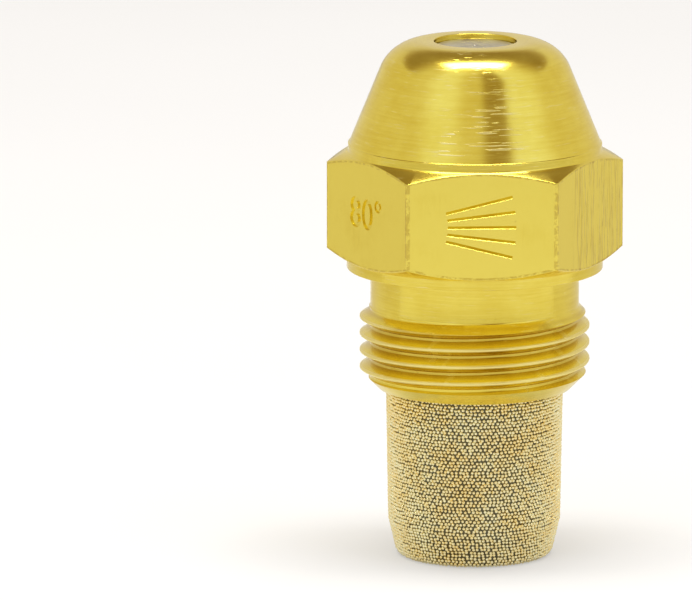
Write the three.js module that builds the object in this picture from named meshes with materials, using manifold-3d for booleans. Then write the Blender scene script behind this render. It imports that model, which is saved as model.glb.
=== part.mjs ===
// Oil burner nozzle: a brass body that holds an orifice disc, a swirl distributor, a lock screw
// and a sintered bronze filter cup on a threaded bush. Millimetres, +Z towards the spray.
// The nozzle stands on its filter: the origin is the centre of the filter's lower face.
import * as THREE from "three";
import { mergeVertices } from "three/addons/utils/BufferGeometryUtils.js";
import Module from "manifold-3d";

const wasm = await Module();
wasm.setup();

// Driving dimensions.
const slideFit = 0.1; // radial gap round a piece that slides in a bore
const seatGap = 0.15; // axial gap where one piece seats on another
const roundSegments = 48;
const hiddenThreadSegments = 24;
const orificeSegments = 12;

const filterGrip = 2.7; // how much of the filter is inside the body
const filterDraft = 0.14; // how much narrower the filter is above its tapered toe
const filterToeInset = 0.6;
const filterBaseInset = 0.83;
const filterTaperLength = 2.3;
const filterToeHeight = 0.3;
const filterWall = 1.3;
const filterFloor = 1.6;
const filterBoreDraft = 0.3;

const bodyLength = 21.75;
const filterStandOut = 10.6; // how far the filter stands out of the body
const threadMajorRadius = 7.144; // 9/16-24 UNEF
const threadPitch = 25.4 / 24;
const threadLength = 5.15;
const threadPhase = 0.73; // height of a crest above the body's rear face on the +X side
const rearChamfer = 1.144;
const rearWall = 0.845; // between the filter's bore and the neck
const neckLength = 2.39;
const neckUndercut = 0.02; // the neck is turned a little below the thread's root
const flangeRadius = 7.95;
const flangeThickness = 0.62;
const hexAcrossFlats = 16;
const hexHeight = 5.37; // between the corners of the two chamfers
const hexChamferAngle = 27;
const lipRadius = 7.87;
const lipHeight = 0.5;
const coneBaseRadius = 7.8;
const noseShoulder = 1.72; // how much wider than the disc's bore the cone is at its top
const noseFaceRim = 0.79; // the flat ring round the nose hole
const noseHoleRadius = 2.56;
const noseWall = 1.35;
const noseDrop = 1.63; // height of the large rounding between the nose face and the cone
const noseSteps = 8;

const discLedge = 0.85; // how much narrower the disc's bore is than the bush's
const discFlangeThickness = 1.45;
const discRecess = 0.31; // the disc's face sits this far inside the nose face
const orificeRadius = 0.12;
const orificeLength = 0.55;
const swirlRadius = 0.5;
const swirlDepth = 0.15;
const seatRim = 1.55; // between the seat's mouth and the disc's edge

const distributorOilGap = 1.05; // round the distributor, for the oil
const distributorBarrel = 2;
const distributorStemRadius = 1.6;
const distributorStemLength = 1.7;
const swirlSlots = 4;
const swirlSlotWidth = 0.45;
const swirlSlotDepth = 0.45;
const swirlSlotOffset = 0.75; // how far each slot passes the axis

const lockScrewLength = 5;
const lockThreadPitch = 0.75;
const lockThreadLength = 3.2;
const lockNoseOilGap = 1.15;
const lockSocketDepth = 0.5;
const lockPassageRadius = 0.9;
const lockPortRadius = 0.45;
const lockPorts = 4;
const driverSlotWidth = 1.1;
const driverSlotDepth = 1.2;

const bushLedge = 0.63; // how much narrower the bush's thread is than the filter
const bushThreadPitch = 0.75;
const bushThreadLength = 4.6;
const bushSpigotLength = 2;
const bushSpigotWall = 1.53;
const bushSlotWidth = 1.2;
const bushSlotDepth = 1;

// Heights and radii that follow from them.
const threadDepth = (pitch) => pitch * (Math.sqrt(3) / 2) * (17 / 24);
const threadRootRadius = threadMajorRadius - threadDepth(threadPitch);
const neckRadius = threadRootRadius - neckUndercut;
const rearZ = filterStandOut;
const noseZ = rearZ + bodyLength;
const threadTopZ = rearZ + threadLength;
const flangeZ = threadTopZ + neckLength;
const hexCornerRadius = hexAcrossFlats / Math.sqrt(3);
const chamferRise = (hexCornerRadius - flangeRadius) * Math.tan(THREE.MathUtils.degToRad(hexChamferAngle));
const hexLowZ = flangeZ + flangeThickness + chamferRise;
const hexHighZ = hexLowZ + hexHeight;
const lipZ = hexHighZ + chamferRise;
const coneZ = lipZ + lipHeight;
const noseFaceRadius = noseHoleRadius + noseFaceRim;

const filterLength = filterStandOut + filterGrip;
const filterBoreRadius = neckRadius - rearWall;
const filterTopRadius = filterBoreRadius - slideFit;
const filterShoulderRadius = filterTopRadius - filterDraft;
const filterToeRadius = filterTopRadius - filterToeInset;
const filterBaseRadius = filterTopRadius - filterBaseInset;
const bushThreadRadius = filterTopRadius - bushLedge;
const bushBoreRadius = bushThreadRadius + slideFit;
const bushSpigotRadius = filterTopRadius - filterWall - slideFit;
const bushPassageRadius = bushSpigotRadius - bushSpigotWall;
const bushZ = filterLength + seatGap;
const bushTopZ = bushZ + bushThreadLength;
const bushBoreTopZ = bushTopZ + 2 * seatGap;

const discBoreRadius = bushBoreRadius - discLedge;
const coneTopRadius = discBoreRadius + noseShoulder;
const coneTopZ = noseZ - noseDrop;
const discZ = noseZ - noseWall - seatGap - discFlangeThickness;
const discFaceZ = noseZ - discRecess;
const discFlangeRadius = discBoreRadius - slideFit;
const seatMouthRadius = discFlangeRadius - seatRim;
const seatApexZ = discZ + seatMouthRadius; // a 45 degree seat
const swirlZ = discFaceZ - orificeLength - swirlDepth;
const seatTopRadius = seatApexZ - swirlZ;

const distributorRadius = discBoreRadius - distributorOilGap;
const coneGap = seatGap * Math.SQRT2;
const distributorApexZ = seatApexZ - coneGap;
const distributorTipZ = distributorApexZ - swirlRadius - seatGap;
const distributorShoulderZ = distributorApexZ - distributorRadius;
const barrelZ = distributorShoulderZ - distributorBarrel;
const stemZ = barrelZ - distributorStemLength;

const lockThreadRadius = discBoreRadius - slideFit;
const lockNoseRadius = discBoreRadius - lockNoseOilGap;
const lockTopZ = stemZ - seatGap + lockSocketDepth;
const lockZ = lockTopZ - lockScrewLength;

// A closed manifold solid from a three.js geometry.
function solid(geometry) {
  const bare = geometry.clone();
  bare.deleteAttribute("normal");
  bare.deleteAttribute("uv");
  const merged = mergeVertices(bare, 1e-4);
  return new wasm.Manifold(
    new wasm.Mesh({
      numProp: 3,
      vertProperties: merged.attributes.position.array,
      triVerts: new Uint32Array(merged.index.array),
    }),
  );
}

// A three.js geometry from a manifold solid, with flat normals.
function geometryOf(body) {
  const mesh = body.getMesh();
  const indexed = new THREE.BufferGeometry();
  indexed.setAttribute("position", new THREE.BufferAttribute(mesh.vertProperties, 3));
  indexed.setIndex(new THREE.BufferAttribute(mesh.triVerts, 1));
  const geometry = indexed.toNonIndexed();
  geometry.computeVertexNormals();
  return geometry;
}

// A solid turned about Z from a closed outline of [radius, height] points, listed anticlockwise.
function turned(outline, segments = roundSegments) {
  const points = outline.map(([radius, height]) => new THREE.Vector2(radius, height));
  const onAxis = outline[0][0] === 0 && outline.at(-1)[0] === 0;
  if (!onAxis) {
    points.push(points[0].clone());
  }
  return solid(new THREE.LatheGeometry(points, segments).rotateX(Math.PI / 2));
}

// A helix about Z whose frames stay radial and axial, so a section keeps its tilt along it.
class Helix extends THREE.Curve {
  constructor(radius, pitch, startZ, turns) {
    super();
    Object.assign(this, { radius, pitch, startZ, turns });
  }

  angle(t) {
    return t * this.turns * Math.PI * 2;
  }

  getPoint(t, target = new THREE.Vector3()) {
    const angle = this.angle(t);
    const height = this.startZ + t * this.turns * this.pitch;
    return target.set(this.radius * Math.cos(angle), this.radius * Math.sin(angle), height);
  }

  computeFrenetFrames(steps) {
    const frames = { tangents: [], normals: [], binormals: [] };
    for (let i = 0; i <= steps; i += 1) {
      const angle = this.angle(i / steps);
      frames.tangents.push(new THREE.Vector3(-Math.sin(angle), Math.cos(angle), 0));
      frames.normals.push(new THREE.Vector3(Math.cos(angle), Math.sin(angle), 0));
      frames.binormals.push(new THREE.Vector3(0, 0, -1));
    }
    return frames;
  }
}

// The cutter of a 60 degree thread: a V with a flat root, wound right-handed from lowZ to highZ.
// crestZ is the height of a crest on the +X side.
function threadCutter(majorRadius, pitch, crestZ, lowZ, highZ, segments = hiddenThreadSegments) {
  const reach = threadDepth(pitch) + pitch / 16; // a little past the crest
  const rootRadius = majorRadius - threadDepth(pitch);
  const rootHalf = pitch / 12;
  const mouthHalf = rootHalf + reach * Math.tan(Math.PI / 6);
  const section = new THREE.Shape([
    new THREE.Vector2(0, -rootHalf),
    new THREE.Vector2(reach, -mouthHalf),
    new THREE.Vector2(reach, mouthHalf),
    new THREE.Vector2(0, rootHalf),
  ]);
  const grooveZ = crestZ + pitch / 2;
  const startZ = grooveZ - Math.ceil((grooveZ - lowZ) / pitch) * pitch;
  const turns = Math.ceil((highZ - startZ) / pitch);
  const helix = new Helix(rootRadius, pitch, startZ, turns);
  return solid(
    new THREE.ExtrudeGeometry(section, {
      steps: turns * segments,
      extrudePath: helix,
      bevelEnabled: false,
    }),
  );
}

function block(width, depth, height, x, y, z) {
  return solid(new THREE.BoxGeometry(width, depth, height).translate(x, y, z));
}

// A rod along +X from the axis, for ports.
function crossRod(radius, length, z, angle) {
  const rod = new THREE.CylinderGeometry(radius, radius, length, orificeSegments);
  rod.rotateZ(-Math.PI / 2).translate(length / 2, 0, z).rotateZ(angle);
  return solid(rod);
}

// The rounding between the nose face and the cone, from the cone up: it leaves the cone along the
// cone's slope and ends level on the face.
function noseRounding() {
  const slope = Math.atan2(coneTopZ - coneZ, coneBaseRadius - coneTopRadius);
  const reach = (coneTopRadius - noseFaceRadius) / Math.sin(slope);
  const height = noseDrop / (1 - Math.cos(slope));
  return Array.from({ length: noseSteps + 1 }, (_, i) => {
    const turn = (slope * (noseSteps - i)) / noseSteps;
    return [noseFaceRadius + reach * Math.sin(turn), noseZ - height * (1 - Math.cos(turn))];
  });
}

// The brass body: a turned blank, milled to a hexagon, threaded and bored in steps from the rear.
function nozzleBody() {
  const runOut = threadMajorRadius - neckRadius;
  const blank = turned([
    [filterBoreRadius, rearZ],
    [threadMajorRadius - rearChamfer, rearZ],
    [threadMajorRadius, rearZ + rearChamfer],
    [threadMajorRadius, threadTopZ - runOut],
    [neckRadius, threadTopZ],
    [neckRadius, flangeZ],
    [flangeRadius, flangeZ],
    [flangeRadius, flangeZ + flangeThickness],
    [hexCornerRadius, hexLowZ],
    [hexCornerRadius, hexHighZ],
    [lipRadius, lipZ],
    [lipRadius, coneZ],
    [coneBaseRadius, coneZ],
    ...noseRounding(),
    [noseHoleRadius, noseZ],
    [noseHoleRadius, noseZ - noseWall],
    [discBoreRadius, noseZ - noseWall],
    [discBoreRadius, bushBoreTopZ],
    [bushBoreRadius, bushBoreTopZ],
    [bushBoreRadius, bushZ],
    [filterBoreRadius, bushZ],
  ]);
  const prismHeight = lipZ - flangeZ + 2;
  const prism = new THREE.CylinderGeometry(hexCornerRadius, hexCornerRadius, prismHeight, 6);
  prism.rotateX(Math.PI / 2).rotateZ(Math.PI / 6).translate(0, 0, (lipZ + flangeZ) / 2);
  const wide = 2 * hexCornerRadius;
  const below = block(wide, wide, flangeZ + 1, 0, 0, (flangeZ - 1) / 2);
  const above = block(wide, wide, noseZ, 0, 0, lipZ + 0.5 + noseZ / 2);
  const stock = solid(prism).add(below).add(above);
  const cutter = threadCutter(
    threadMajorRadius,
    threadPitch,
    rearZ + threadPhase,
    rearZ - threadPitch,
    threadTopZ,
    roundSegments,
  );
  return blank.intersect(stock).subtract(cutter);
}

// The stainless orifice disc: a boss that fills the nose hole, a flange behind it, a 45 degree
// seat for the distributor, a small swirl chamber and the orifice.
function orificeDisc() {
  const bossRadius = noseHoleRadius - slideFit;
  const shoulderZ = discZ + discFlangeThickness;
  return turned([
    [seatMouthRadius, discZ],
    [discFlangeRadius, discZ],
    [discFlangeRadius, shoulderZ],
    [bossRadius, shoulderZ],
    [bossRadius, discFaceZ],
    [orificeRadius, discFaceZ],
    [orificeRadius, swirlZ + swirlDepth],
    [Math.min(swirlRadius, seatTopRadius), swirlZ + swirlDepth],
    [seatTopRadius, swirlZ],
  ]);
}

// The swirl distributor: a cone with slots that pass beside the axis, a barrel and a stem.
function swirlDistributor() {
  const tipRadius = distributorApexZ - distributorTipZ;
  const turnedPiece = turned([
    [0, stemZ],
    [distributorStemRadius, stemZ],
    [distributorStemRadius, barrelZ],
    [distributorRadius, barrelZ],
    [distributorRadius, distributorShoulderZ],
    [tipRadius, distributorTipZ],
    [0, distributorTipZ],
  ]);
  let piece = turnedPiece;
  for (let i = 0; i < swirlSlots; i += 1) {
    const slot = new THREE.BoxGeometry(4 * distributorRadius, swirlSlotWidth, 2 * swirlSlotDepth);
    slot.rotateY(Math.PI / 4);
    const middle = distributorRadius / 2;
    slot.translate(middle, swirlSlotOffset, distributorApexZ - middle);
    slot.rotateZ((i * Math.PI * 2) / swirlSlots);
    piece = piece.subtract(solid(slot));
  }
  return piece;
}

// The lock screw: threaded, with a blind passage from the rear, cross ports to its nose, a socket
// for the distributor's stem and a driver slot.
function lockScrew() {
  const threadTop = lockZ + lockThreadLength;
  const depth = threadDepth(lockThreadPitch);
  const portZ = (threadTop + lockTopZ - lockSocketDepth) / 2;
  const blank = turned([
    [0, portZ + lockPortRadius],
    [lockPassageRadius, portZ + lockPortRadius],
    [lockPassageRadius, lockZ],
    [lockThreadRadius - depth, lockZ],
    [lockThreadRadius, lockZ + depth],
    [lockThreadRadius, threadTop - depth],
    [lockThreadRadius - depth, threadTop],
    [lockNoseRadius, threadTop],
    [lockNoseRadius, lockTopZ],
    [distributorStemRadius + slideFit, lockTopZ],
    [distributorStemRadius + slideFit, lockTopZ - lockSocketDepth],
    [0, lockTopZ - lockSocketDepth],
  ]);
  const cutter = threadCutter(
    lockThreadRadius,
    lockThreadPitch,
    lockZ,
    lockZ - lockThreadPitch,
    threadTop,
  );
  const slot = block(3 * lockThreadRadius, driverSlotWidth, 2 * driverSlotDepth, 0, 0, lockZ);
  let piece = blank.subtract(cutter).subtract(slot);
  for (let i = 0; i < lockPorts; i += 1) {
    const angle = ((i + 0.5) * Math.PI * 2) / lockPorts;
    piece = piece.subtract(crossRod(lockPortRadius, 2 * lockNoseRadius, portZ, angle));
  }
  return piece;
}

// The filter bush: an open brass ring, threaded outside, with a spigot pushed into the filter cup
// and two driver slots in its upper end.
function filterBush() {
  const depth = threadDepth(bushThreadPitch);
  const blank = turned([
    [bushPassageRadius, bushZ - bushSpigotLength],
    [bushSpigotRadius, bushZ - bushSpigotLength],
    [bushSpigotRadius, bushZ],
    [bushThreadRadius, bushZ],
    [bushThreadRadius, bushTopZ - depth],
    [bushThreadRadius - depth, bushTopZ],
    [bushPassageRadius, bushTopZ],
  ]);
  const cutter = threadCutter(
    bushThreadRadius,
    bushThreadPitch,
    bushTopZ,
    bushZ - bushThreadPitch,
    bushTopZ + bushThreadPitch,
  );
  const slot = block(3 * bushThreadRadius, bushSlotWidth, 2 * bushSlotDepth, 0, 0, bushTopZ);
  return blank.subtract(cutter).subtract(slot);
}

// The sintered bronze filter: a cup, closed below, that tapers at its toe.
function sinteredFilter() {
  const innerRadius = filterTopRadius - filterWall;
  return turned([
    [0, 0],
    [filterBaseRadius, 0],
    [filterToeRadius, filterToeHeight],
    [filterShoulderRadius, filterTaperLength],
    [filterTopRadius, filterStandOut],
    [filterTopRadius, filterLength],
    [innerRadius, filterLength],
    [innerRadius, bushZ - bushSpigotLength - seatGap],
    [innerRadius - filterBoreDraft, filterFloor],
    [0, filterFloor],
  ]);
}

const brass = { color: 0xd9b640, roughness: 0.28, metalness: 1 };
const steel = { color: 0xb4b3ae, roughness: 0.35, metalness: 1 };
const sinteredBronze = { color: 0xc9ad74, roughness: 0.75, metalness: 0.8 };

const nozzle = new THREE.Group();

function place(name, piece, finish) {
  const mesh = new THREE.Mesh(geometryOf(piece), new THREE.MeshStandardMaterial(finish));
  mesh.name = name;
  nozzle.add(mesh);
}

place("sintered_filter", sinteredFilter(), sinteredBronze);
place("filter_bush", filterBush(), brass);
place("lock_screw", lockScrew(), brass);
place("swirl_distributor", swirlDistributor(), steel);
place("orifice_disc", orificeDisc(), steel);
place("nozzle_body", nozzleBody(), brass);

export default nozzle;
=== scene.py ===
import bpy
import bmesh
import math
import random
from mathutils import Matrix, Vector


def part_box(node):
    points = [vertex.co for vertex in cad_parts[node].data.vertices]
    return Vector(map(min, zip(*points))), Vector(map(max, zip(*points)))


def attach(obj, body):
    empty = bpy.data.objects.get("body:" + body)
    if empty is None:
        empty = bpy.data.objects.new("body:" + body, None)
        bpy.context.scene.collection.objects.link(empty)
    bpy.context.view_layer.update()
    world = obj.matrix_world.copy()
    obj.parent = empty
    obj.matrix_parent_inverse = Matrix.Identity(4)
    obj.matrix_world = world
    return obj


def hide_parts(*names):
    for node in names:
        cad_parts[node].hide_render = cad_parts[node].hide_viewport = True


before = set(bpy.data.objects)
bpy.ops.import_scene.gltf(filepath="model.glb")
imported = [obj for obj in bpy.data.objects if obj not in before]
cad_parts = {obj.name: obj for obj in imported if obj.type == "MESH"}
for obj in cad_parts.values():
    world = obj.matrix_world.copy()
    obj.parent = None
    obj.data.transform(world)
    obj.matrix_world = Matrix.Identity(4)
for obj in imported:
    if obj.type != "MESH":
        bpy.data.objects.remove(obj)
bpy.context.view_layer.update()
mm = 0.001  # every piece is drawn in millimetres and turned to metres when it is finished
fullTurn = 2 * math.pi


def span(node):
    low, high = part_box(node)
    return Vector(low) / mm, Vector(high) / mm


bodyLow, bodyHigh = span("nozzle_body")
filterLow, filterHigh = span("sintered_filter")
bushLow, bushHigh = span("filter_bush")
screwLow, screwHigh = span("lock_screw")
distributorLow, distributorHigh = span("swirl_distributor")
discLow, discHigh = span("orifice_disc")

# the camera comes first, then the tools that the pieces share

view = {
    "azimuth": -2.4,     # degrees round the nozzle
    "elevation": 11.3,
    "distance": 600.0,   # mm, a long lens from far off
    "frameSpan": 42.98,  # mm across the frame at the nozzle
    "sideStep": 7.99,    # the nozzle stands right of the middle
    "aimHeight": 16.0,
}


def facing(azimuth, elevation):
    # the direction out of the nozzle's axis; azimuth 0 is its front, 90 its right side
    az = math.radians(azimuth)
    el = math.radians(elevation)
    return Vector((math.sin(az) * math.cos(el), -math.cos(az) * math.cos(el), math.sin(el)))


def setCamera(spec):
    data = bpy.data.cameras.new("studioCamera")
    camera = bpy.data.objects.new("studioCamera", data)
    bpy.context.collection.objects.link(camera)
    toward = facing(spec["azimuth"], spec["elevation"])
    right = facing(spec["azimuth"] + 90, 0)
    aim = Vector((0, 0, spec["aimHeight"])) - right * spec["sideStep"]
    camera.location = (aim + toward * spec["distance"]) * mm
    camera.rotation_euler = (math.radians(90 - spec["elevation"]), 0, math.radians(spec["azimuth"]))
    data.sensor_width = 36
    data.lens = data.sensor_width * spec["distance"] / spec["frameSpan"]
    data.clip_start = 0.02
    data.clip_end = 20
    bpy.context.scene.camera = camera


setCamera(view)
print("camera set")


def rounded(corners, step=math.radians(18)):
    # an outline of (radius, height) or (radius, height, fillet) corners, with the fillets as arcs
    outline = []
    for i, corner in enumerate(corners):
        here = Vector(corner[:2])
        fillet = corner[2] if len(corner) > 2 else 0
        if not fillet:
            outline.append(here)
            continue
        back = (Vector(corners[i - 1][:2]) - here).normalized()
        onward = (Vector(corners[(i + 1) % len(corners)][:2]) - here).normalized()
        half = back.angle(onward) / 2
        reach = fillet / math.tan(half)
        centre = here + (back + onward).normalized() * fillet / math.sin(half)
        start = here + back * reach - centre
        sweep = start.angle_signed(here + onward * reach - centre)
        pieces = max(2, math.ceil(abs(sweep) / step))
        for k in range(pieces + 1):
            turn = -sweep * k / pieces
            outline.append(centre + Matrix.Rotation(turn, 2) @ start)
    return outline


def turned(outline, sides, closed=True):
    # an outline spun about the axis; an open one starts and ends on the axis
    shape = bmesh.new()
    points = [shape.verts.new((r, 0, z)) for r, z in outline]
    pairs = list(zip(points, points[1:]))
    if closed:
        pairs.append((points[-1], points[0]))
    edges = [shape.edges.new(pair) for pair in pairs]
    bmesh.ops.spin(shape, geom=points + edges, cent=(0, 0, 0), axis=(0, 0, 1), angle=fullTurn,
                   steps=sides, use_merge=True, use_duplicate=False)
    bmesh.ops.remove_doubles(shape, verts=shape.verts, dist=1e-5)
    bmesh.ops.recalc_face_normals(shape, faces=shape.faces)
    return shape


def threadDepth(pitch):
    # from crest to root of a 60 degree thread
    return pitch * math.sqrt(3) / 2 * 17 / 24


def threadStock(major, pitch, crestZ, low, high, sides, coverTo=None):
    # a bar with a rounded 60 degree thread between low and high; coverTo, a radius and a height,
    # makes it a wide plain bar above the thread, so that only the thread is cut from what it meets
    depth = threadDepth(pitch)
    soft = pitch / 14  # the fillets at crest and root
    tooth = [(-pitch / 2, 0, 0), (-pitch / 12 * 5, 0, soft), (-pitch / 16, depth, soft),
             (pitch / 16, depth, soft), (pitch / 12 * 5, 0, soft), (pitch / 2, 0, 0)]
    wave = rounded([(z, r, fillet) for z, r, fillet in tooth])[:-1]
    first = math.floor((low - crestZ) / pitch) - 2
    last = math.ceil((high - crestZ) / pitch) + 2
    shape = bmesh.new()
    chain = []
    for turn in range(first, last + 1):
        for z, r in wave:
            chain.append(shape.verts.new((major - depth + r, 0, crestZ + turn * pitch + z)))
    edges = [shape.edges.new(pair) for pair in zip(chain, chain[1:])]
    bmesh.ops.spin(shape, geom=chain + edges, cent=(0, 0, 0), axis=(0, 0, 1), angle=fullTurn,
                   steps=sides, dvec=(0, 0, pitch / sides), use_duplicate=False)
    bmesh.ops.remove_doubles(shape, verts=shape.verts, dist=pitch / 400)
    for height, up in ((low, -1), (high, 1)):
        bmesh.ops.bisect_plane(shape, geom=shape.verts[:] + shape.edges[:] + shape.faces[:],
                               dist=1e-6, plane_co=(0, 0, height), plane_no=(0, 0, up),
                               clear_outer=True)
    for height in (low, high):
        rim = [e for e in shape.edges if e.is_boundary
               and all(abs(v.co.z - height) < 1e-4 for v in e.verts)]
        if height == high and coverTo:
            for grow, lift in ((coverTo[0] / major, 0), (1, coverTo[1] - high)):
                made = bmesh.ops.extrude_edge_only(shape, edges=rim)["geom"]
                ring = [g for g in made if isinstance(g, bmesh.types.BMVert)]
                rim = [g for g in made if isinstance(g, bmesh.types.BMEdge)]
                bmesh.ops.scale(shape, vec=(grow, grow, 1), verts=ring)
                bmesh.ops.translate(shape, vec=(0, 0, lift), verts=ring)
        bmesh.ops.edgeloop_fill(shape, edges=rim)
    bmesh.ops.recalc_face_normals(shape, faces=shape.faces)
    return shape


def rotate(shape, angle, axis):
    matrix = Matrix.Rotation(angle, 3, axis)
    bmesh.ops.rotate(shape, cent=(0, 0, 0), matrix=matrix, verts=shape.verts)


def block(width, depth, height, centre, turn=0.0, tilt=0.0, twist=0.0):
    # a box twisted about X, tilted about Y, moved to centre and turned about the nozzle's axis
    shape = bmesh.new()
    bmesh.ops.create_cube(shape, size=1)
    bmesh.ops.scale(shape, vec=(width, depth, height), verts=shape.verts)
    rotate(shape, twist, "X")
    rotate(shape, tilt, "Y")
    bmesh.ops.translate(shape, vec=centre, verts=shape.verts)
    rotate(shape, turn, "Z")
    return shape


def rod(radius, length, centre, turn, sides=32):
    # a round bar that points straight out of the axis, for a port
    shape = bmesh.new()
    bmesh.ops.create_cone(shape, cap_ends=True, segments=sides, radius1=radius, radius2=radius,
                          depth=length)
    rotate(shape, math.pi / 2, "Y")
    bmesh.ops.translate(shape, vec=centre, verts=shape.verts)
    rotate(shape, turn, "Z")
    return shape


def asObject(shape, name):
    mesh = bpy.data.meshes.new(name)
    shape.to_mesh(mesh)
    shape.free()
    made = bpy.data.objects.new(name, mesh)
    bpy.context.collection.objects.link(made)
    return made


def pour(shape, into):
    # adds one shape's faces to another
    patch = bpy.data.meshes.new("patch")
    shape.to_mesh(patch)
    shape.free()
    into.from_mesh(patch)
    bpy.data.meshes.remove(patch)


def carve(shape, tools):
    # each tool is (how, bmesh), where how is DIFFERENCE or INTERSECT
    work = asObject(shape, "work")
    for how, tool in tools:
        other = asObject(tool, "tool")
        cut = work.modifiers.new("cut", "BOOLEAN")
        cut.operation = how
        cut.solver = "EXACT"
        cut.object = other
        bpy.context.view_layer.update()
        shown = work.evaluated_get(bpy.context.evaluated_depsgraph_get())
        result = bpy.data.meshes.new_from_object(shown)
        work.modifiers.clear()
        work.data = result
        bpy.data.objects.remove(other)
    done = bmesh.new()
    done.from_mesh(work.data)
    bpy.data.objects.remove(work)
    bmesh.ops.remove_doubles(done, verts=done.verts, dist=1e-4)
    bmesh.ops.dissolve_degenerate(done, edges=done.edges, dist=1e-5)
    return done


def softEdges(shape, width, least, picked):
    # breaks the picked edges that turn by more than least degrees, with a small two-step bevel
    edges = [e for e in shape.edges if len(e.link_faces) == 2
             and e.calc_face_angle(0) > math.radians(least) and picked(e)]
    bmesh.ops.bevel(shape, geom=edges, offset=width, segments=2, profile=0.5, affect="EDGES",
                    material=-1, clamp_overlap=True)


def finished(shape, name, node, body, finish, sharp=32, weighted=True):
    # from millimetres to metres, then shading, material and body; the CAD part that it replaces is hidden
    bmesh.ops.scale(shape, vec=(mm, mm, mm), verts=shape.verts)
    made = asObject(shape, name)
    made.data.shade_smooth()
    made.data.set_sharp_from_angle(angle=math.radians(sharp))
    if weighted:
        normals = made.modifiers.new("flats", "WEIGHTED_NORMAL")
        normals.keep_sharp = True
    made.data.materials.append(finish)
    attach(made, body)
    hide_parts(node)
    triangles = sum(len(p.vertices) - 2 for p in made.data.polygons)
    print(name, "made,", triangles, "triangles")
    return made


class Wire:
    # one socket of a material; sums on wires add the Math nodes
    def __init__(self, tree, socket=None):
        self.tree = tree
        self.socket = socket

    def node(self, kind, settings=None, inputs=None, output=0):
        made = self.tree.nodes.new(kind)
        for name, value in (settings or {}).items():
            if name == "stops":
                while len(made.color_ramp.elements) < len(value):
                    made.color_ramp.elements.new(1)
                for element, (place, colour) in zip(made.color_ramp.elements, value):
                    element.position = place
                    element.color = (*colour, 1)
            else:
                setattr(made, name, value)
        for name, value in (inputs or {}).items():
            if isinstance(value, Wire):
                self.tree.links.new(value.socket, made.inputs[name])
            else:
                made.inputs[name].default_value = value
        return Wire(self.tree, made.outputs[output]) if len(made.outputs) else None

    def sum(self, operation, *values):
        return self.node("ShaderNodeMath", {"operation": operation}, dict(enumerate(values)))

    def __add__(self, other):
        return self.sum("ADD", self, other)

    def __radd__(self, other):
        return self.sum("ADD", other, self)

    def __sub__(self, other):
        return self.sum("SUBTRACT", self, other)

    def __rsub__(self, other):
        return self.sum("SUBTRACT", other, self)

    def __mul__(self, other):
        return self.sum("MULTIPLY", self, other)

    def __rmul__(self, other):
        return self.sum("MULTIPLY", other, self)

    def __truediv__(self, other):
        return self.sum("DIVIDE", self, other)

    def __pow__(self, other):
        return self.sum("POWER", self, other)

    def between(self, low, high):
        # 0 below low, 1 above high and smooth from one to the other
        return self.node("ShaderNodeMapRange", {"interpolation_type": "SMOOTHSTEP"},
                         {0: self, 1: low, 2: high})

    def band(self, begins, full, falls, gone):
        # 1 from full to falls, 0 before begins and after gone
        return self.between(begins, full) * (1 - self.between(falls, gone))

    def tint(self, first, second):
        # first where this is 0, second where it is 1
        return self.node("ShaderNodeMix", {"data_type": "RGBA"}, {0: self, 6: first, 7: second}, 2)

    def noise(self, vector, scale, detail=2.0, rough=0.5):
        return self.node("ShaderNodeTexNoise", {"noise_dimensions": "3D"},
                         {"Vector": vector, "Scale": scale, "Detail": detail, "Roughness": rough})

    def along(self, x, y, z):
        return self.node("ShaderNodeCombineXYZ", inputs={0: x, 1: y, 2: z})


def colour(red, green, blue):
    return (red, green, blue, 1)


def newFinish(name):
    # the material, a wire to its tree, and the place on the piece in millimetres
    material = bpy.data.materials.new(name)
    material.use_nodes = True
    material.node_tree.nodes.clear()
    wire = Wire(material.node_tree)
    spot = wire.node("ShaderNodeTexCoord", output="Object")
    spot = wire.node("ShaderNodeVectorMath", {"operation": "SCALE"}, {0: spot, "Scale": 1 / mm})
    return material, wire, spot


def axes(wire, spot):
    # x, y, z and the radius from the axis
    parts = spot.node("ShaderNodeSeparateXYZ", inputs={0: spot})
    node = parts.socket.node
    x, y, z = (Wire(wire.tree, node.outputs[i]) for i in range(3))
    radius = (x * x + y * y) ** 0.5
    return x, y, z, radius


def surface(wire, bump, strength, reach, inputs):
    normal = wire.node("ShaderNodeBump", inputs={"Strength": strength, "Distance": reach * mm,
                                                 "Height": bump})
    shader = wire.node("ShaderNodeBsdfPrincipled", inputs={**inputs, "Normal": normal})
    wire.node("ShaderNodeOutputMaterial", inputs={"Surface": shader})


brassTint = {
    "bright": colour(0.91, 0.755, 0.135),
    "deep": colour(0.80, 0.615, 0.075),
    "tarnishAndShade": colour(0.42, 0.235, 0.03),
    "pale": colour(0.96, 0.86, 0.42),
}
steelTint = {
    "bright": colour(0.62, 0.60, 0.53),
    "deep": colour(0.44, 0.41, 0.34),
}


def turnedLines(wire, spot, fine=9.0, arc=1.6):
    # tool marks that run round the axis, on cones and on faces alike
    x, y, z, radius = axes(wire, spot)
    along = z + radius * 0.62
    turnX = x / (radius + 0.02) * arc
    turnY = y / (radius + 0.02) * arc
    marks = wire.noise(wire.along(turnX, turnY, along * fine), 1.0, 4.0, 0.62)
    streaks = wire.noise(wire.along(turnX * 3.2, turnY * 3.2, along * fine * 2.1), 1.0, 2.0, 0.5)
    return marks, streaks
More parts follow.
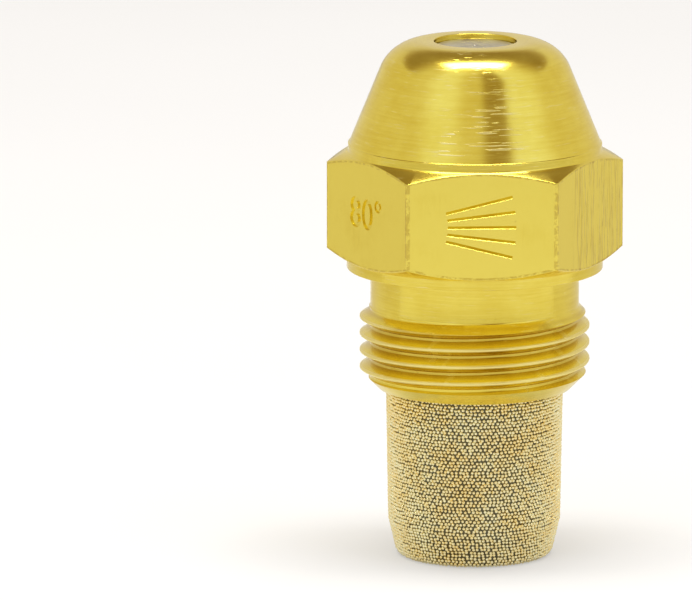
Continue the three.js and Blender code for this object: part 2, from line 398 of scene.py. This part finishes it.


# where the wear, and the thread's painted shade and painted highlights, on the body begin and are full, in
# millimetres
wearAndShadePlan = {
    "flat": (7.97, 8.0),         # radius: nothing nearer the axis is drawn
    "flatEnd": (-0.04, -0.01),   # from the arcs over and under a flat, where the grain stops
    "arcBurr": (-0.18, -0.08),   # from the same arcs
    "cornerBurr": (0.07, 0.02),  # inside the hexagon's corner
    "ribsRight": (5.6, 6.4),     # the ribs are on the right face, towards the front
    "ribsBack": (-0.6, 0.0),
    "threadEnd": (0.3, 0.1),     # under the thread's top
    "threadStart": 0.2,
    "valleyShade": (6.55, 6.95),      # radius: the painted shade lies below the first
    # radius: the painted highlight on the crests begins at the first and is full at the second
    "crest": (6.98, 7.08),
    "chatterSide": (-0.45, -0.25, 0.2, 0.4),  # shares of the radius, from left to right
    "chatterBack": (-2.0, 0.0),
    "chatterBase": (0.7, 1.0),   # above the lip
    "chatterThins": (2.2, 6.0),
}


def hexagonWear(wire, spot, hexagon):
    # where the flats are, their grain and pits, the burrs along their edges and the ribs on one
    x, y, z, radius = axes(wire, spot)
    slant = (radius - hexagon["corner"]) * hexagon["slope"]
    top = z - hexagon["hexHigh"] + slant
    bottom = hexagon["hexLow"] - z + slant
    flatEnd = wearAndShadePlan["flatEnd"]
    drawn = (1 - top.between(*flatEnd)) * (1 - bottom.between(*flatEnd)) * radius.between(*wearAndShadePlan["flat"])
    pits = wire.noise(spot, 6.0, 3.0, 0.6)
    grain = wire.noise(wire.along(x * 9.0, y * 9.0, z * 0.7), 1.0, 3.0, 0.6) * 0.6 + pits * 0.4
    side = radius.between(*(hexagon["corner"] - inset for inset in wearAndShadePlan["cornerBurr"]))
    arcs = wire.sum("MAXIMUM", top.between(*wearAndShadePlan["arcBurr"]), bottom.between(*wearAndShadePlan["arcBurr"]))
    edges = wire.sum("MAXIMUM", arcs, side)
    ragged = wire.noise(spot, 2.6, 4.0, 0.75).between(0.44, 0.54)
    burr = edges * ragged * drawn
    ribs = wire.noise(wire.along(x * 4.5, y * 4.5, z * 0.22), 1.0, 2.0, 0.6).between(0.5, 0.6)
    ribs = ribs * x.between(*wearAndShadePlan["ribsRight"]) * (1 - y.between(*wearAndShadePlan["ribsBack"])) * drawn
    return drawn, grain, pits, burr, ribs


def threadShadeAndHighlight(wire, spot, low, top):
    # painted shade darkens the valleys of the thread and a painted highlight lightens its crests
    z, radius = axes(wire, spot)[2:]
    falls, gone = (top - drop for drop in wearAndShadePlan["threadEnd"])
    threaded = z.band(low - wearAndShadePlan["threadStart"], low, falls, gone)
    valleyShade = (1 - radius.between(*wearAndShadePlan["valleyShade"])) * threaded
    crest = radius.between(*wearAndShadePlan["crest"]) * threaded
    return valleyShade, crest


def coneChatter(wire, spot, lip):
    # long thin lines round the front of the cone, thickest near its base
    x, y, z, radius = axes(wire, spot)
    turnX = x / (radius + 0.02)
    turnY = y / (radius + 0.02)
    lines = wire.noise(wire.along(turnX * 4.5, turnY * 4.5, z * 11), 1.0, 1.0, 0.5).between(0.60, 0.66)
    patch = wire.noise(wire.along(turnX * 1.8, turnY * 1.8, z * 0.7), 1.0, 1.0, 0.5).between(0.40, 0.50)
    front = turnX.band(*wearAndShadePlan["chatterSide"]) * (1 - y.between(*wearAndShadePlan["chatterBack"]))
    base = z.between(*(lip + up for up in wearAndShadePlan["chatterBase"]))
    thins = z.between(*(lip + up for up in wearAndShadePlan["chatterThins"]))
    return lines * patch * front * base * (1 - thins * 0.7)


def turnedBrass(name, dull=0.0, hexagon=None):
    # with hexagon, its flats are drawn and not turned, and the cone above has the tool's chatter
    material, wire, spot = newFinish(name)
    marks, streaks = turnedLines(wire, spot)
    clouds = wire.noise(spot, 0.35, 4.0, 0.6)
    spots = wire.noise(spot, 2.6, 5.0, 0.7).between(0.66, 0.74)
    scratchAndGlint = streaks.between(0.62, 0.70)
    raised = 0.0
    stainAndShade = 0.0
    paintedSheen = 0.0
    if hexagon:
        drawn, grain, pits, burr, ribs = hexagonWear(wire, spot, hexagon)
        chatter = coneChatter(wire, spot, hexagon["lip"])
        valleyShade, crest = threadShadeAndHighlight(wire, spot, hexagon["threadLow"], hexagon["threadTop"])
        marks = marks * (1 - drawn) + grain * drawn
        streaks = streaks * (1 - drawn) + pits * drawn
        # the chatter lines and the thread's crests join the scratches as painted highlights
        scratchAndGlint = scratchAndGlint * (1 - drawn) + chatter * 2.0 + crest * 1.6
        raised = chatter * 3.0 + burr * 1.8 + ribs * 2.4
        # the burrs and the flanks of the ribs are darkened, and painted shade darkens the thread's valleys
        stainAndShade = burr * 0.42 + ribs * (1 - ribs) * 1.4 + valleyShade * 0.42
        # painted sheen: the flats are painted lighter than the turned faces
        paintedSheen = drawn * 0.16
    tone = (clouds * 0.55 + marks * 0.45 + paintedSheen).between(0.3, 0.7)
    base = tone.tint(brassTint["deep"], brassTint["bright"])
    # towards the tarnish colour: tarnish spots, the dull pieces, the darkened marks and the painted shade in
    # the valleys
    base = (spots * 0.35 + dull * 0.25 + stainAndShade).tint(base, brassTint["tarnishAndShade"])
    # pale: the scratches, and the painted highlights on the chatter and the crests
    base = (scratchAndGlint * 0.35).tint(base, brassTint["pale"])
    rough = 0.12 + dull * 0.14 + marks * 0.12 + scratchAndGlint * 0.08
    bump = marks * 0.55 + streaks * 0.45 + raised
    surface(wire, bump, 0.26, 0.02, {"Base Color": base, "Metallic": 1.0, "Roughness": rough})
    return material


def turnedSteel(name):
    material, wire, spot = newFinish(name)
    marks, streaks = turnedLines(wire, spot, fine=14.0, arc=0.9)
    clouds = wire.noise(spot, 0.8, 3.0, 0.6)
    base = (clouds * 0.5 + marks * 0.5).between(0.3, 0.7).tint(steelTint["deep"], steelTint["bright"])
    rough = 0.24 + marks * 0.2 + streaks * 0.1
    surface(wire, marks * 0.6 + streaks * 0.4, 0.35, 0.012,
            {"Base Color": base, "Metallic": 1.0, "Roughness": rough})
    return material


def sinteredBronze(name, shade=1.0, beads=False):
    material, wire, spot = newFinish(name)
    clouds = wire.noise(spot, 0.45, 3.0, 0.6)
    grains = wire.noise(spot, 5.0, 2.0, 0.7)
    fine = wire.noise(spot, 24.0, 3.0, 0.7)
    tone = (clouds * 0.4 + grains * 0.6).between(0.3, 0.7)
    base = tone.tint(colour(1.0 * shade, 0.78 * shade, 0.30 * shade),
                     colour(1.0 * shade, 0.97 * shade, 0.66 * shade))
    if beads:
        # painted shade: each bead is darker on its side towards the cup, where the beads meet
        outward = wire.node("ShaderNodeAttribute", {"attribute_name": "outward"}, output="Fac")
        base = outward.between(-0.30, 0.28).tint(colour(0.13, 0.07, 0.015), base)
    rough = 0.16 + fine * 0.2
    surface(wire, fine, 0.3, 0.01, {"Base Color": base, "Metallic": 1.0, "Roughness": rough})
    return material


innerBrass = turnedBrass("plain_turned_brass", dull=0.6)
discSteel = turnedSteel("faced_stainless")
distributorSteel = turnedSteel("turned_stainless")
beadBronze = sinteredBronze("sintered_beads", beads=True)
# painted shade: the cup under the beads is nearly black, for the dark gaps between them
shadedCoreBronze = sinteredBronze("sintered_core_painted_shade", shade=0.12)
print("finishes mixed")

bodyPlan = {
    "sides": 240,
    "threadRadius": 7.144,
    "threadPitch": 25.4 / 24,
    "crestAboveRear": 0.73,      # on the +X side
    "rearChamfer": 1.144,
    "threadLength": 5.15,
    "neckLength": 2.39,
    "neckRadius": 6.475,
    "flangeRadius": 7.95,
    "flangeThickness": 0.62,
    "hexHeight": 5.37,
    "hexChamferAngle": 27,
    "cornerBreak": 0.05,         # how far the hexagon's corners are turned down
    "lipRadius": 7.87,
    "lipHeight": 0.5,
    "coneBaseRadius": 7.8,
    "coneTopRadius": 5.87,
    "noseDrop": 1.63,
    "faceRadius": 3.35,
    "holeRadius": 2.56,
    "noseWall": 1.35,
    "discBore": 4.15,
    "bushBore": 5.0,
    "bushBoreTop": 7.75,         # above the rear face
    "filterBore": 5.63,
    "filterBoreTop": 2.85,
    "domeSteps": 12,
    "edge": 0.06,                # fillets: outer edges, fine edges and the corners of the bores
    "fineEdge": 0.03,
    "boreCorner": 0.08,
    "runOut": 0.15,              # fillets: where the thread ends, under the flange and at the lip
    "neckCorner": 0.3,
    "lipCorner": 0.12,
    "lipEdge": 0.05,             # round the nose hole too
    "coneStep": 0.02,
    "hexEdge": 0.035,            # the bevel round the flats
    "hexMargin": 0.02,           # the bevel stays this far off the washer face and the lip
    "oversize": 0.05,            # of the blank where the thread shapes it
    "cover": (13, 5),            # the thread stock's wide bar: radius, and height above the nose
    "cutBelow": 1,               # how far the thread stock starts under the rear
    "cutAbove": 0.6,             # and goes on over the thread
    "angleMark": "80°",
    "angleSize": 2.7,
    "markDepth": 0.11,
    "markBold": 0.025,
    "fan": (5, 3.6, 7.8, 28),    # grooves, where they start and end, spread in degrees
    "fanSide": 0.14,             # a groove is the corner of a square bar of this side
}


def bodyLevels(plan):
    # the heights that follow from the plan, and the hexagon's corner
    slope = math.tan(math.radians(plan["hexChamferAngle"]))
    corner = (bodyHigh.y - bodyLow.y) / math.sqrt(3) - plan["cornerBreak"]
    threadTop = bodyLow.z + plan["threadLength"]
    flange = threadTop + plan["neckLength"]
    flangeTop = flange + plan["flangeThickness"]
    hexLow = flangeTop + (corner - plan["flangeRadius"]) * slope
    hexHigh = hexLow + plan["hexHeight"] + 2 * plan["cornerBreak"] * slope
    lip = hexHigh + (corner - plan["lipRadius"]) * slope
    threadLow = bodyLow.z + plan["rearChamfer"]
    return {"slope": slope, "corner": corner, "threadLow": threadLow, "threadTop": threadTop,
            "flange": flange, "flangeTop": flangeTop, "hexLow": hexLow, "hexHigh": hexHigh, "lip": lip}


def makeBody(plan, levels):
    rear = bodyLow.z
    nose = bodyHigh.z
    major = plan["threadRadius"]
    acrossFlats = bodyHigh.y - bodyLow.y
    corner, threadTop, flange, flangeTop, hexLow, hexHigh, lip = (
        levels[k] for k in ("corner", "threadTop", "flange", "flangeTop", "hexLow", "hexHigh", "lip"))
    cone = lip + plan["lipHeight"]
    coneTop = nose - plan["noseDrop"]
    edge = plan["edge"]
    fine = plan["fineEdge"]
    inner = plan["boreCorner"]
    step = plan["coneStep"]
    margin = plan["hexMargin"]
    lean = math.atan2(coneTop - cone, plan["coneBaseRadius"] - plan["coneTopRadius"])
    domeWide = (plan["coneTopRadius"] - plan["faceRadius"]) / math.sin(lean)
    domeHigh = plan["noseDrop"] / (1 - math.cos(lean))
    dome = []
    for i in range(plan["domeSteps"], -1, -1):
        turn = lean * i / plan["domeSteps"]
        dome.append((plan["faceRadius"] + domeWide * math.sin(turn), nose - domeHigh * (1 - math.cos(turn))))
    over = major + plan["oversize"]
    outline = rounded([
        (plan["filterBore"], rear, edge),
        (major - plan["rearChamfer"], rear, edge),
        (over, rear + plan["rearChamfer"] + plan["oversize"]),
        (over, threadTop - (over - plan["neckRadius"])),
        (plan["neckRadius"], threadTop, plan["runOut"]),
        (plan["neckRadius"], flange, plan["neckCorner"]),
        (plan["flangeRadius"], flange, edge),
        (plan["flangeRadius"], flangeTop, fine),
        (corner, hexLow),
        (corner, hexHigh),
        (plan["lipRadius"], lip, plan["lipCorner"]),
        (plan["lipRadius"], cone, plan["lipEdge"]),
        (plan["coneBaseRadius"], cone + step, step),
        *dome,
        (plan["holeRadius"], nose, plan["lipEdge"]),
        (plan["holeRadius"], nose - plan["noseWall"], fine),
        (plan["discBore"], nose - plan["noseWall"], inner),
        (plan["discBore"], rear + plan["bushBoreTop"], edge),
        (plan["bushBore"], rear + plan["bushBoreTop"], inner),
        (plan["bushBore"], rear + plan["filterBoreTop"], edge),
        (plan["filterBore"], rear + plan["filterBoreTop"], inner),
    ])
    shape = turned(outline, plan["sides"])
    for i in range(6):
        turn = math.radians(60 * i)
        outward = Vector((math.sin(turn), -math.cos(turn), 0))
        cut = bmesh.ops.bisect_plane(shape, geom=shape.verts[:] + shape.edges[:] + shape.faces[:],
                                     dist=1e-5, plane_co=outward * acrossFlats / 2, plane_no=outward,
                                     clear_outer=True)["geom_cut"]
        rim = [g for g in cut if isinstance(g, bmesh.types.BMEdge)]
        bmesh.ops.edgeloop_fill(shape, edges=rim)
    bmesh.ops.recalc_face_normals(shape, faces=shape.faces)

    def roundFlat(e):
        # between the washer face and the lip, on a flat, which is the only face with many corners
        onHexagon = all(math.hypot(v.co.x, v.co.y) > plan["flangeRadius"]
                        and flangeTop + margin < v.co.z < lip - margin for v in e.verts)
        return onHexagon and any(len(f.verts) > 20 for f in e.link_faces)

    softEdges(shape, plan["hexEdge"], 12, roundFlat)
    coverRadius, coverHeight = plan["cover"]
    stock = threadStock(major, plan["threadPitch"], rear + plan["crestAboveRear"], rear - plan["cutBelow"],
                        threadTop + plan["cutAbove"], plan["sides"], (coverRadius, nose + coverHeight))
    # the marks are hollows in the wide bar, so one cut makes the thread and the marks
    marks = stampedMarks(plan, acrossFlats / 2, (hexLow + hexHigh) / 2)
    bmesh.ops.reverse_faces(marks, faces=marks.faces)
    pour(marks, stock)
    return carve(shape, [("INTERSECT", stock)])


def stampedMarks(plan, depth, middle):
    # a spray angle on the left face and a spray fan on the front one, as shallow cutters
    marks = bmesh.new()
    letters = bpy.data.curves.new("angle", "FONT")
    letters.body = plan["angleMark"]
    letters.size = plan["angleSize"]
    letters.extrude = plan["markDepth"]
    letters.offset = plan["markBold"]
    letters.resolution_u = 4
    letters.align_x = "CENTER"
    letters.align_y = "CENTER"
    text = bpy.data.objects.new("angle", letters)
    mesh = bpy.data.meshes.new_from_object(text)
    marks.from_mesh(mesh)
    bpy.data.objects.remove(text)
    bmesh.ops.remove_doubles(marks, verts=marks.verts, dist=1e-4)
    upright = Matrix.Translation((0, -depth, middle)) @ Matrix.Rotation(math.pi / 2, 4, "X")
    leftFace = Matrix.Rotation(math.radians(-60), 4, "Z")
    bmesh.ops.transform(marks, matrix=leftFace @ upright, verts=marks.verts)
    bars, inner, outer, spread = plan["fan"]
    side = plan["fanSide"]
    for i in range(bars):
        lean = math.radians(spread * (i / (bars - 1) - 0.5))
        reach = (inner + outer) / 2
        centre = (reach * math.cos(lean) - reach, -depth, middle + reach * math.sin(lean))
        pour(block(outer - inner, side, side, centre, tilt=-lean, twist=math.pi / 4), marks)
    return marks


bodyHeights = bodyLevels(bodyPlan)
bodyBrass = turnedBrass("bright_turned_brass", hexagon=bodyHeights)
finished(makeBody(bodyPlan, bodyHeights), "nozzle_body_fine", "nozzle_body", "nozzle_body",
         bodyBrass)

discPlan = {
    "sides": 128,
    "bossRadius": 2.46,
    "flangeThickness": 1.45,
    "seatMouth": 2.5,
    "swirlRadius": 0.5,
    "swirlDepth": 0.15,
    "orificeRadius": 0.12,
    "orificeLength": 0.55,
    "orificeEdge": 0.015,
    "edge": 0.06,
}


def makeDisc(plan):
    low, face = discLow.z, discHigh.z
    edge = plan["edge"]
    shoulder = low + plan["flangeThickness"]
    chamberTop = face - plan["orificeLength"]
    chamberLow = chamberTop - plan["swirlDepth"]
    outline = rounded([
        (plan["seatMouth"], low, 0.04),
        (discHigh.x, low, edge),
        (discHigh.x, shoulder, edge),
        (plan["bossRadius"], shoulder, 0.05),
        (plan["bossRadius"], face, edge),
        (plan["orificeRadius"] + plan["orificeEdge"], face),
        (plan["orificeRadius"], face - plan["orificeEdge"]),
        (plan["orificeRadius"], chamberTop),
        (plan["swirlRadius"], chamberTop, 0.03),
        (plan["swirlRadius"], chamberLow),
    ])
    return turned(outline, plan["sides"])


finished(makeDisc(discPlan), "orifice_disc_fine", "orifice_disc", "orifice_disc",
         discSteel)

distributorPlan = {
    "sides": 128,
    "stemRadius": 1.6,
    "stemLength": 1.7,
    "barrelLength": 2.0,
    "slots": 4,
    "slotWidth": 0.45,
    "slotDepth": 0.45,
    "slotOffset": 0.75,  # how far each slot passes the axis
    "edge": 0.06,
}


def makeDistributor(plan):
    low, tip = distributorLow.z, distributorHigh.z
    radius = distributorHigh.x
    edge = plan["edge"]
    barrel = low + plan["stemLength"]
    shoulder = barrel + plan["barrelLength"]
    tipRadius = radius - (tip - shoulder)
    outline = [(0, low)] + rounded([
        (0, low),
        (plan["stemRadius"], low, edge),
        (plan["stemRadius"], barrel, 0.1),
        (radius, barrel, edge),
        (radius, shoulder, edge),
        (tipRadius, tip, 0.04),
        (0, tip),
    ])[1:]
    slots = []
    for i in range(plan["slots"]):
        slots.append(("DIFFERENCE", block(4 * radius, plan["slotWidth"], 2 * plan["slotDepth"],
                                          (radius / 2, plan["slotOffset"], shoulder + radius / 2),
                                          turn=fullTurn * i / plan["slots"], tilt=math.pi / 4)))
    return carve(turned(outline, plan["sides"], closed=False), slots)


finished(makeDistributor(distributorPlan), "swirl_distributor_fine", "swirl_distributor", "distributor",
         distributorSteel)

screwPlan = {
    "sides": 128,
    "threadPitch": 0.75,
    "threadLength": 3.2,
    "noseRadius": 3.0,
    "passageRadius": 0.9,
    "socketRadius": 1.7,
    "socketDepth": 0.5,
    "ports": 4,
    "portRadius": 0.45,
    "portReach": 4,
    "slotWidth": 1.1,
    "slotDepth": 1.2,
    "edge": 0.05,
    "oversize": 0.03,    # of the blank where the thread shapes it
    "cutPast": 1,        # how far the thread stock goes past both ends
}


def makeLockScrew(plan):
    low, top = screwLow.z, screwHigh.z
    major = screwHigh.x
    over = major + plan["oversize"]
    depth = threadDepth(plan["threadPitch"])
    threadTop = low + plan["threadLength"]
    socketFloor = top - plan["socketDepth"]
    portZ = (threadTop + socketFloor) / 2
    edge = plan["edge"]
    outline = rounded([
        (0, portZ + plan["portRadius"]),
        (plan["passageRadius"], portZ + plan["portRadius"]),
        (plan["passageRadius"], low, 0.08),
        (major - depth, low, edge),
        (over, low + depth),
        (over, threadTop - depth),
        (major - depth, threadTop),
        (plan["noseRadius"], threadTop, 0.12),
        (plan["noseRadius"], top, 0.12),
        (plan["socketRadius"], top, 0.06),
        (plan["socketRadius"], socketFloor),
        (0, socketFloor),
    ])
    past = plan["cutPast"]
    stock = threadStock(major, plan["threadPitch"], low, low - past, top + past, plan["sides"])
    tools = [("INTERSECT", stock),
             ("DIFFERENCE", block(3 * major, plan["slotWidth"], 2 * plan["slotDepth"], (0, 0, low)))]
    reach = plan["portReach"]
    for i in range(plan["ports"]):
        turn = fullTurn * (i + 0.5) / plan["ports"]
        tools.append(("DIFFERENCE", rod(plan["portRadius"], reach, (reach / 2, 0, portZ), turn)))
    return carve(turned(outline, plan["sides"], closed=False), tools)


finished(makeLockScrew(screwPlan), "lock_screw_fine", "lock_screw", "lock_screw",
         innerBrass)

bushPlan = {
    "sides": 144,
    "threadPitch": 0.75,
    "threadLength": 4.6,
    "spigotRadius": 4.13,
    "passageRadius": 2.6,
    "slotWidth": 1.2,
    "slotDepth": 1.0,
    "edge": 0.06,
    "fineEdge": 0.03,
    "oversize": 0.03,    # of the blank where the thread shapes it
    "cutPast": 1,        # how far the thread stock goes past both ends
}


def makeBush(plan):
    low, top = bushLow.z, bushHigh.z
    major = bushHigh.x
    over = major + plan["oversize"]
    depth = threadDepth(plan["threadPitch"])
    shoulder = top - plan["threadLength"]
    edge = plan["edge"]
    outline = rounded([
        (plan["passageRadius"], low, edge),
        (plan["spigotRadius"], low, 0.12),
        (plan["spigotRadius"], shoulder, edge),
        (major - depth / 2, shoulder, plan["fineEdge"]),
        (over, shoulder + depth / 2 + plan["oversize"]),
        (over, top - depth),
        (major - depth, top, plan["fineEdge"]),
        (plan["passageRadius"], top, 0.1),
    ])
    past = plan["cutPast"]
    stock = threadStock(major, plan["threadPitch"], top, low - past, top + past, plan["sides"])
    slot = block(3 * major, plan["slotWidth"], 2 * plan["slotDepth"], (0, 0, top))
    return carve(turned(outline, plan["sides"]), [("INTERSECT", stock), ("DIFFERENCE", slot)])


finished(makeBush(bushPlan), "filter_bush_fine", "filter_bush", "filter", innerBrass)

# the sintered filter is a cup with a skin of small beads; the cup is painted nearly black as the shade
# between the beads
filterPlan = {
    "sides": 160,
    "seed": 7,
    "beadRadius": 0.126,
    "smallest": 0.86,      # the smallest bead against the largest
    "beadSides": 8,
    "beadRings": 4,
    "rowStep": 0.207,      # from one row of beads to the next
    "beadStep": 0.24,      # from bead to bead in a row
    "wander": 0.036,       # how far a bead strays from its place
    "sideSplit": 7.7,      # the skin is made in pieces; the side's two meet here
    "baseInset": 0.83,
    "toeInset": 0.6,
    "toeHeight": 0.3,
    "draft": 0.14,
    "taperLength": 2.3,
    "standOut": 10.6,
    "wall": 1.3,
    "floor": 1.6,
    "boreDraft": 0.3,
    "straightBore": 11.3,
}


def filterCorners(plan, inset):
    # the outside of the cup from the middle of its base to its rim, drawn in by inset
    top = filterHigh.x - inset
    return [
        (0, inset),
        (top - plan["baseInset"] + inset * 0.4, inset),
        (top - plan["toeInset"], plan["toeHeight"] + inset * 0.4),
        (top - plan["draft"], plan["taperLength"]),
        (top, plan["standOut"]),
        (top, filterHigh.z - inset),
        (filterHigh.x - plan["wall"] + inset, filterHigh.z - inset),
    ]


def makeCup(plan):
    inset = plan["beadRadius"]
    inner = filterHigh.x - plan["wall"] + inset * 0.3
    corners = filterCorners(plan, inset)
    corners[1] = (*corners[1], inset)
    corners[2] = (*corners[2], inset)
    corners[5] = (*corners[5], inset)
    outline = corners[:6] + [
        (inner, filterHigh.z - inset, inset / 2),
        (inner, plan["straightBore"]),
        (inner - plan["boreDraft"], plan["floor"] + 0.3),
        (inner - plan["boreDraft"] - 0.3, plan["floor"]),
        (0, plan["floor"]),
    ]
    return turned(rounded(outline), plan["sides"], closed=False)


def beadRows(plan):
    # where the rows of beads lie: radius, height and the part of the cup that they belong to
    corners = [Vector(c) for c in filterCorners(plan, plan["beadRadius"])]
    names = ["base", "low", "low", "side", "side", "rim"]
    rows = []
    spare = 0.0
    for name, start, end in zip(names, corners, corners[1:]):
        length = (end - start).length
        reach = spare
        while reach < length:
            place = start.lerp(end, reach / length)
            rows.append((place.x, place.y, name))
            reach += plan["rowStep"]
        spare = reach - length
    return rows


def beadRing(plan, radius, height, name, row, dice):
    # a bead is spun round the axis, then each copy strays a little and gets its own size
    ring = bmesh.new()
    small = plan["beadRadius"] / 2
    flat = name in ("base", "rim")
    poles = {"base": Matrix.Rotation(math.pi, 4, "X"), "rim": Matrix.Identity(4)}
    pole = poles.get(name, Matrix.Rotation(math.pi / 2, 4, "Y"))
    place = Matrix.Translation((radius, 0, height))
    bmesh.ops.create_uvsphere(ring, u_segments=plan["beadSides"], v_segments=plan["beadRings"],
                              radius=small, matrix=pole)
    outward = ring.verts.layers.float.new("outward")
    for vert in ring.verts:
        vert[outward] = (pole.inverted() @ vert.co).z / small
    bmesh.ops.transform(ring, matrix=place, verts=ring.verts)
    count = round(fullTurn * radius / plan["beadStep"])
    if count < 4:
        bmesh.ops.scale(ring, vec=(2, 2, 2), space=place.inverted(), verts=ring.verts)
        return ring
    bmesh.ops.spin(ring, geom=ring.verts[:] + ring.edges[:] + ring.faces[:], cent=(0, 0, 0),
                   axis=(0, 0, 1), angle=fullTurn * (count - 1) / count, steps=count - 1,
                   use_duplicate=True)
    phase = fullTurn / count * (row / 2 + dice.uniform(-0.12, 0.12))
    stray = plan["wander"]
    moves = []
    for k in range(count):
        turn = fullTurn * k / count
        centre = Vector((radius * math.cos(turn), radius * math.sin(turn), height))
        moved = turn + phase + dice.uniform(-stray, stray) / radius
        drift = dice.uniform(-stray, stray)
        out = radius + (drift if flat else dice.uniform(-0.4, 0) * stray)
        goal = Vector((out * math.cos(moved), out * math.sin(moved), height + (0 if flat else drift)))
        size = 2 * dice.uniform(plan["smallest"], 1.0)
        moves.append((centre, goal, Matrix.Rotation(moved - turn, 3, "Z") * size))
    for vert in ring.verts:
        k = round(math.atan2(vert.co.y, vert.co.x) / fullTurn * count) % count
        centre, goal, change = moves[k]
        vert.co = goal + change @ (vert.co - centre)
    return ring


def makeBeads(plan):
    dice = random.Random(plan["seed"])
    parts = {}
    for row, (radius, height, name) in enumerate(beadRows(plan)):
        if name == "side":
            name = "side_low" if height < plan["sideSplit"] else "side_high"
        ring = beadRing(plan, radius, height, name, row, dice)
        if name not in parts:
            parts[name] = bmesh.new()
        pour(ring, parts[name])
    return parts


finished(makeCup(filterPlan), "filter_cup", "sintered_filter", "filter", shadedCoreBronze)
for part, beads in makeBeads(filterPlan).items():
    finished(beads, "filter_beads_" + part, "sintered_filter", "filter", beadBronze,
             sharp=180, weighted=False)

studio = {
    "floor": 6.0,        # metres across
    "floorGlow": 0.22,   # a floor lit a little from below
    "backdrop": 0.16,    # makes the paper white to the eye and not in the metal
    "grey": 0.76,        # the soft light from all round
    "front": 0.22,       # added by the two front lights
    "gap": 0.5,          # taken away between them
    "behind": 0.6,       # taken away high up behind the nozzle
    "coolLight": colour(0.96, 1.0, 1.2),
    "warmLight": colour(1.0, 0.93, 0.78),
    "darkRoom": colour(1.0, 0.74, 0.42),
    "paper": 0.93,       # what the camera sees behind the nozzle
    # the degrees where each of the next four begins, is full, falls off and is gone
    "heights": (2, 14, 58, 76),         # elevations of the two front lights and the gap
    "leftLight": (-75, -48, -30, -12),  # azimuths
    "rightLight": (32, 40, 62, 95),
    "gapBetween": (2, 12, 31, 36),
    "behindFrom": (-0.15, 0.40),        # along Y, where the dark behind begins and is full
    "behindUp": (21, 42),               # and its elevations
    "boards": (46, 60, 88, 156, 0.76),  # radius, height, from and to azimuth, brightness
    "lamp": (-2.4, 89, 380, 280, 120, 36.0),  # azimuth, elevation, distance, width, depth, brightness
}


def makeBoards(spec):
    # grey boards at both sides, seen only in the metal
    radius, height, start, end, glow = spec["boards"]
    material, wire, spot = newFinish("grey_board")
    light = wire.node("ShaderNodeEmission", inputs={"Color": spec["warmLight"], "Strength": glow})
    wire.node("ShaderNodeOutputMaterial", inputs={"Surface": light})
    for side in (-1, 1):
        strip = bmesh.new()
        foot = strip.verts.new((0, -radius, 0.2))
        head = strip.verts.new((0, -radius, height))
        edge = strip.edges.new((foot, head))
        bmesh.ops.rotate(strip, cent=(0, 0, 0), verts=[foot, head],
                         matrix=Matrix.Rotation(math.radians(side * start), 3, "Z"))
        bmesh.ops.spin(strip, geom=[foot, head, edge], cent=(0, 0, 0), axis=(0, 0, 1), steps=12,
                       angle=math.radians(side * (end - start)), use_duplicate=False)
        bmesh.ops.scale(strip, vec=(mm, mm, mm), verts=strip.verts)
        board = asObject(strip, "board_left" if side < 0 else "board_right")
        board.data.materials.append(material)
        board.visible_camera = False
        board.visible_diffuse = False
        board.visible_shadow = False


def makeStudio(spec):
    bpy.ops.mesh.primitive_plane_add(size=spec["floor"], location=(0, 0, 0))
    floor = bpy.context.object
    floor.name = "floor"
    material, wire, spot = newFinish("pale_floor")
    specks = wire.noise(spot, 0.02, 2.0, 0.5)
    tone = specks.tint(colour(0.50, 0.50, 0.50), colour(0.53, 0.53, 0.53))
    glow = wire.node("ShaderNodeLightPath", output="Is Camera Ray") * spec["backdrop"] + spec["floorGlow"]
    shader = wire.node("ShaderNodeBsdfPrincipled", inputs={
        "Base Color": tone, "Roughness": 0.8, "Specular IOR Level": 0.2,
        "Emission Color": colour(1, 1, 1), "Emission Strength": glow})
    wire.node("ShaderNodeOutputMaterial", inputs={"Surface": shader})
    floor.data.materials.append(material)
    azimuth, elevation, distance, width, depth, glow = spec["lamp"]
    data = bpy.data.lights.new("softbox", "AREA")
    lamp = bpy.data.objects.new("softbox", data)
    bpy.context.collection.objects.link(lamp)
    toward = facing(azimuth, elevation)
    lamp.location = (toward * distance + Vector((0, 0, view["aimHeight"]))) * mm
    lamp.rotation_euler = (math.radians(90 - elevation), 0, math.radians(azimuth))
    data.shape = "RECTANGLE"
    data.size = width * mm
    data.size_y = depth * mm
    data.energy = glow * data.size * data.size_y
    lamp.visible_camera = False
    bpy.context.scene.view_settings.view_transform = "Standard"
    world = bpy.data.worlds.new("studio")
    bpy.context.scene.world = world
    world.use_nodes = True
    world.node_tree.nodes.clear()
    wire = Wire(world.node_tree)
    sky = wire.node("ShaderNodeTexCoord", output="Generated")
    parts = wire.node("ShaderNodeSeparateXYZ", inputs={0: sky}).socket.node
    x, y, z = (Wire(world.node_tree, parts.outputs[i]) for i in range(3))
    azimuth = x.sum("ARCTAN2", x, 0 - y) * (180 / math.pi)
    elevation = z.sum("ARCSINE", z) * (180 / math.pi)
    middle = elevation.band(*spec["heights"])
    front = azimuth.band(*spec["leftLight"]) * middle + azimuth.band(*spec["rightLight"]) * middle
    gap = azimuth.band(*spec["gapBetween"]) * middle
    behind = y.between(*spec["behindFrom"]) * elevation.between(*spec["behindUp"])
    dark = 1 - (1 - gap * spec["gap"]) * (1 - behind * spec["behind"])
    glow = spec["grey"] * (1 - dark) + front * spec["front"]
    hue = front.tint(spec["warmLight"], spec["coolLight"])
    hue = (dark * 1.6).between(0, 1).tint(hue, spec["darkRoom"])
    plain = wire.node("ShaderNodeLightPath", output="Is Camera Ray")
    glow = glow * (1 - plain) + plain * spec["paper"]
    hue = plain.tint(hue, colour(1, 1, 1))
    light = wire.node("ShaderNodeBackground", inputs={"Color": hue, "Strength": glow})
    wire.node("ShaderNodeOutputWorld", inputs={"Surface": light})
    makeBoards(spec)


makeStudio(studio)
print("studio lit")
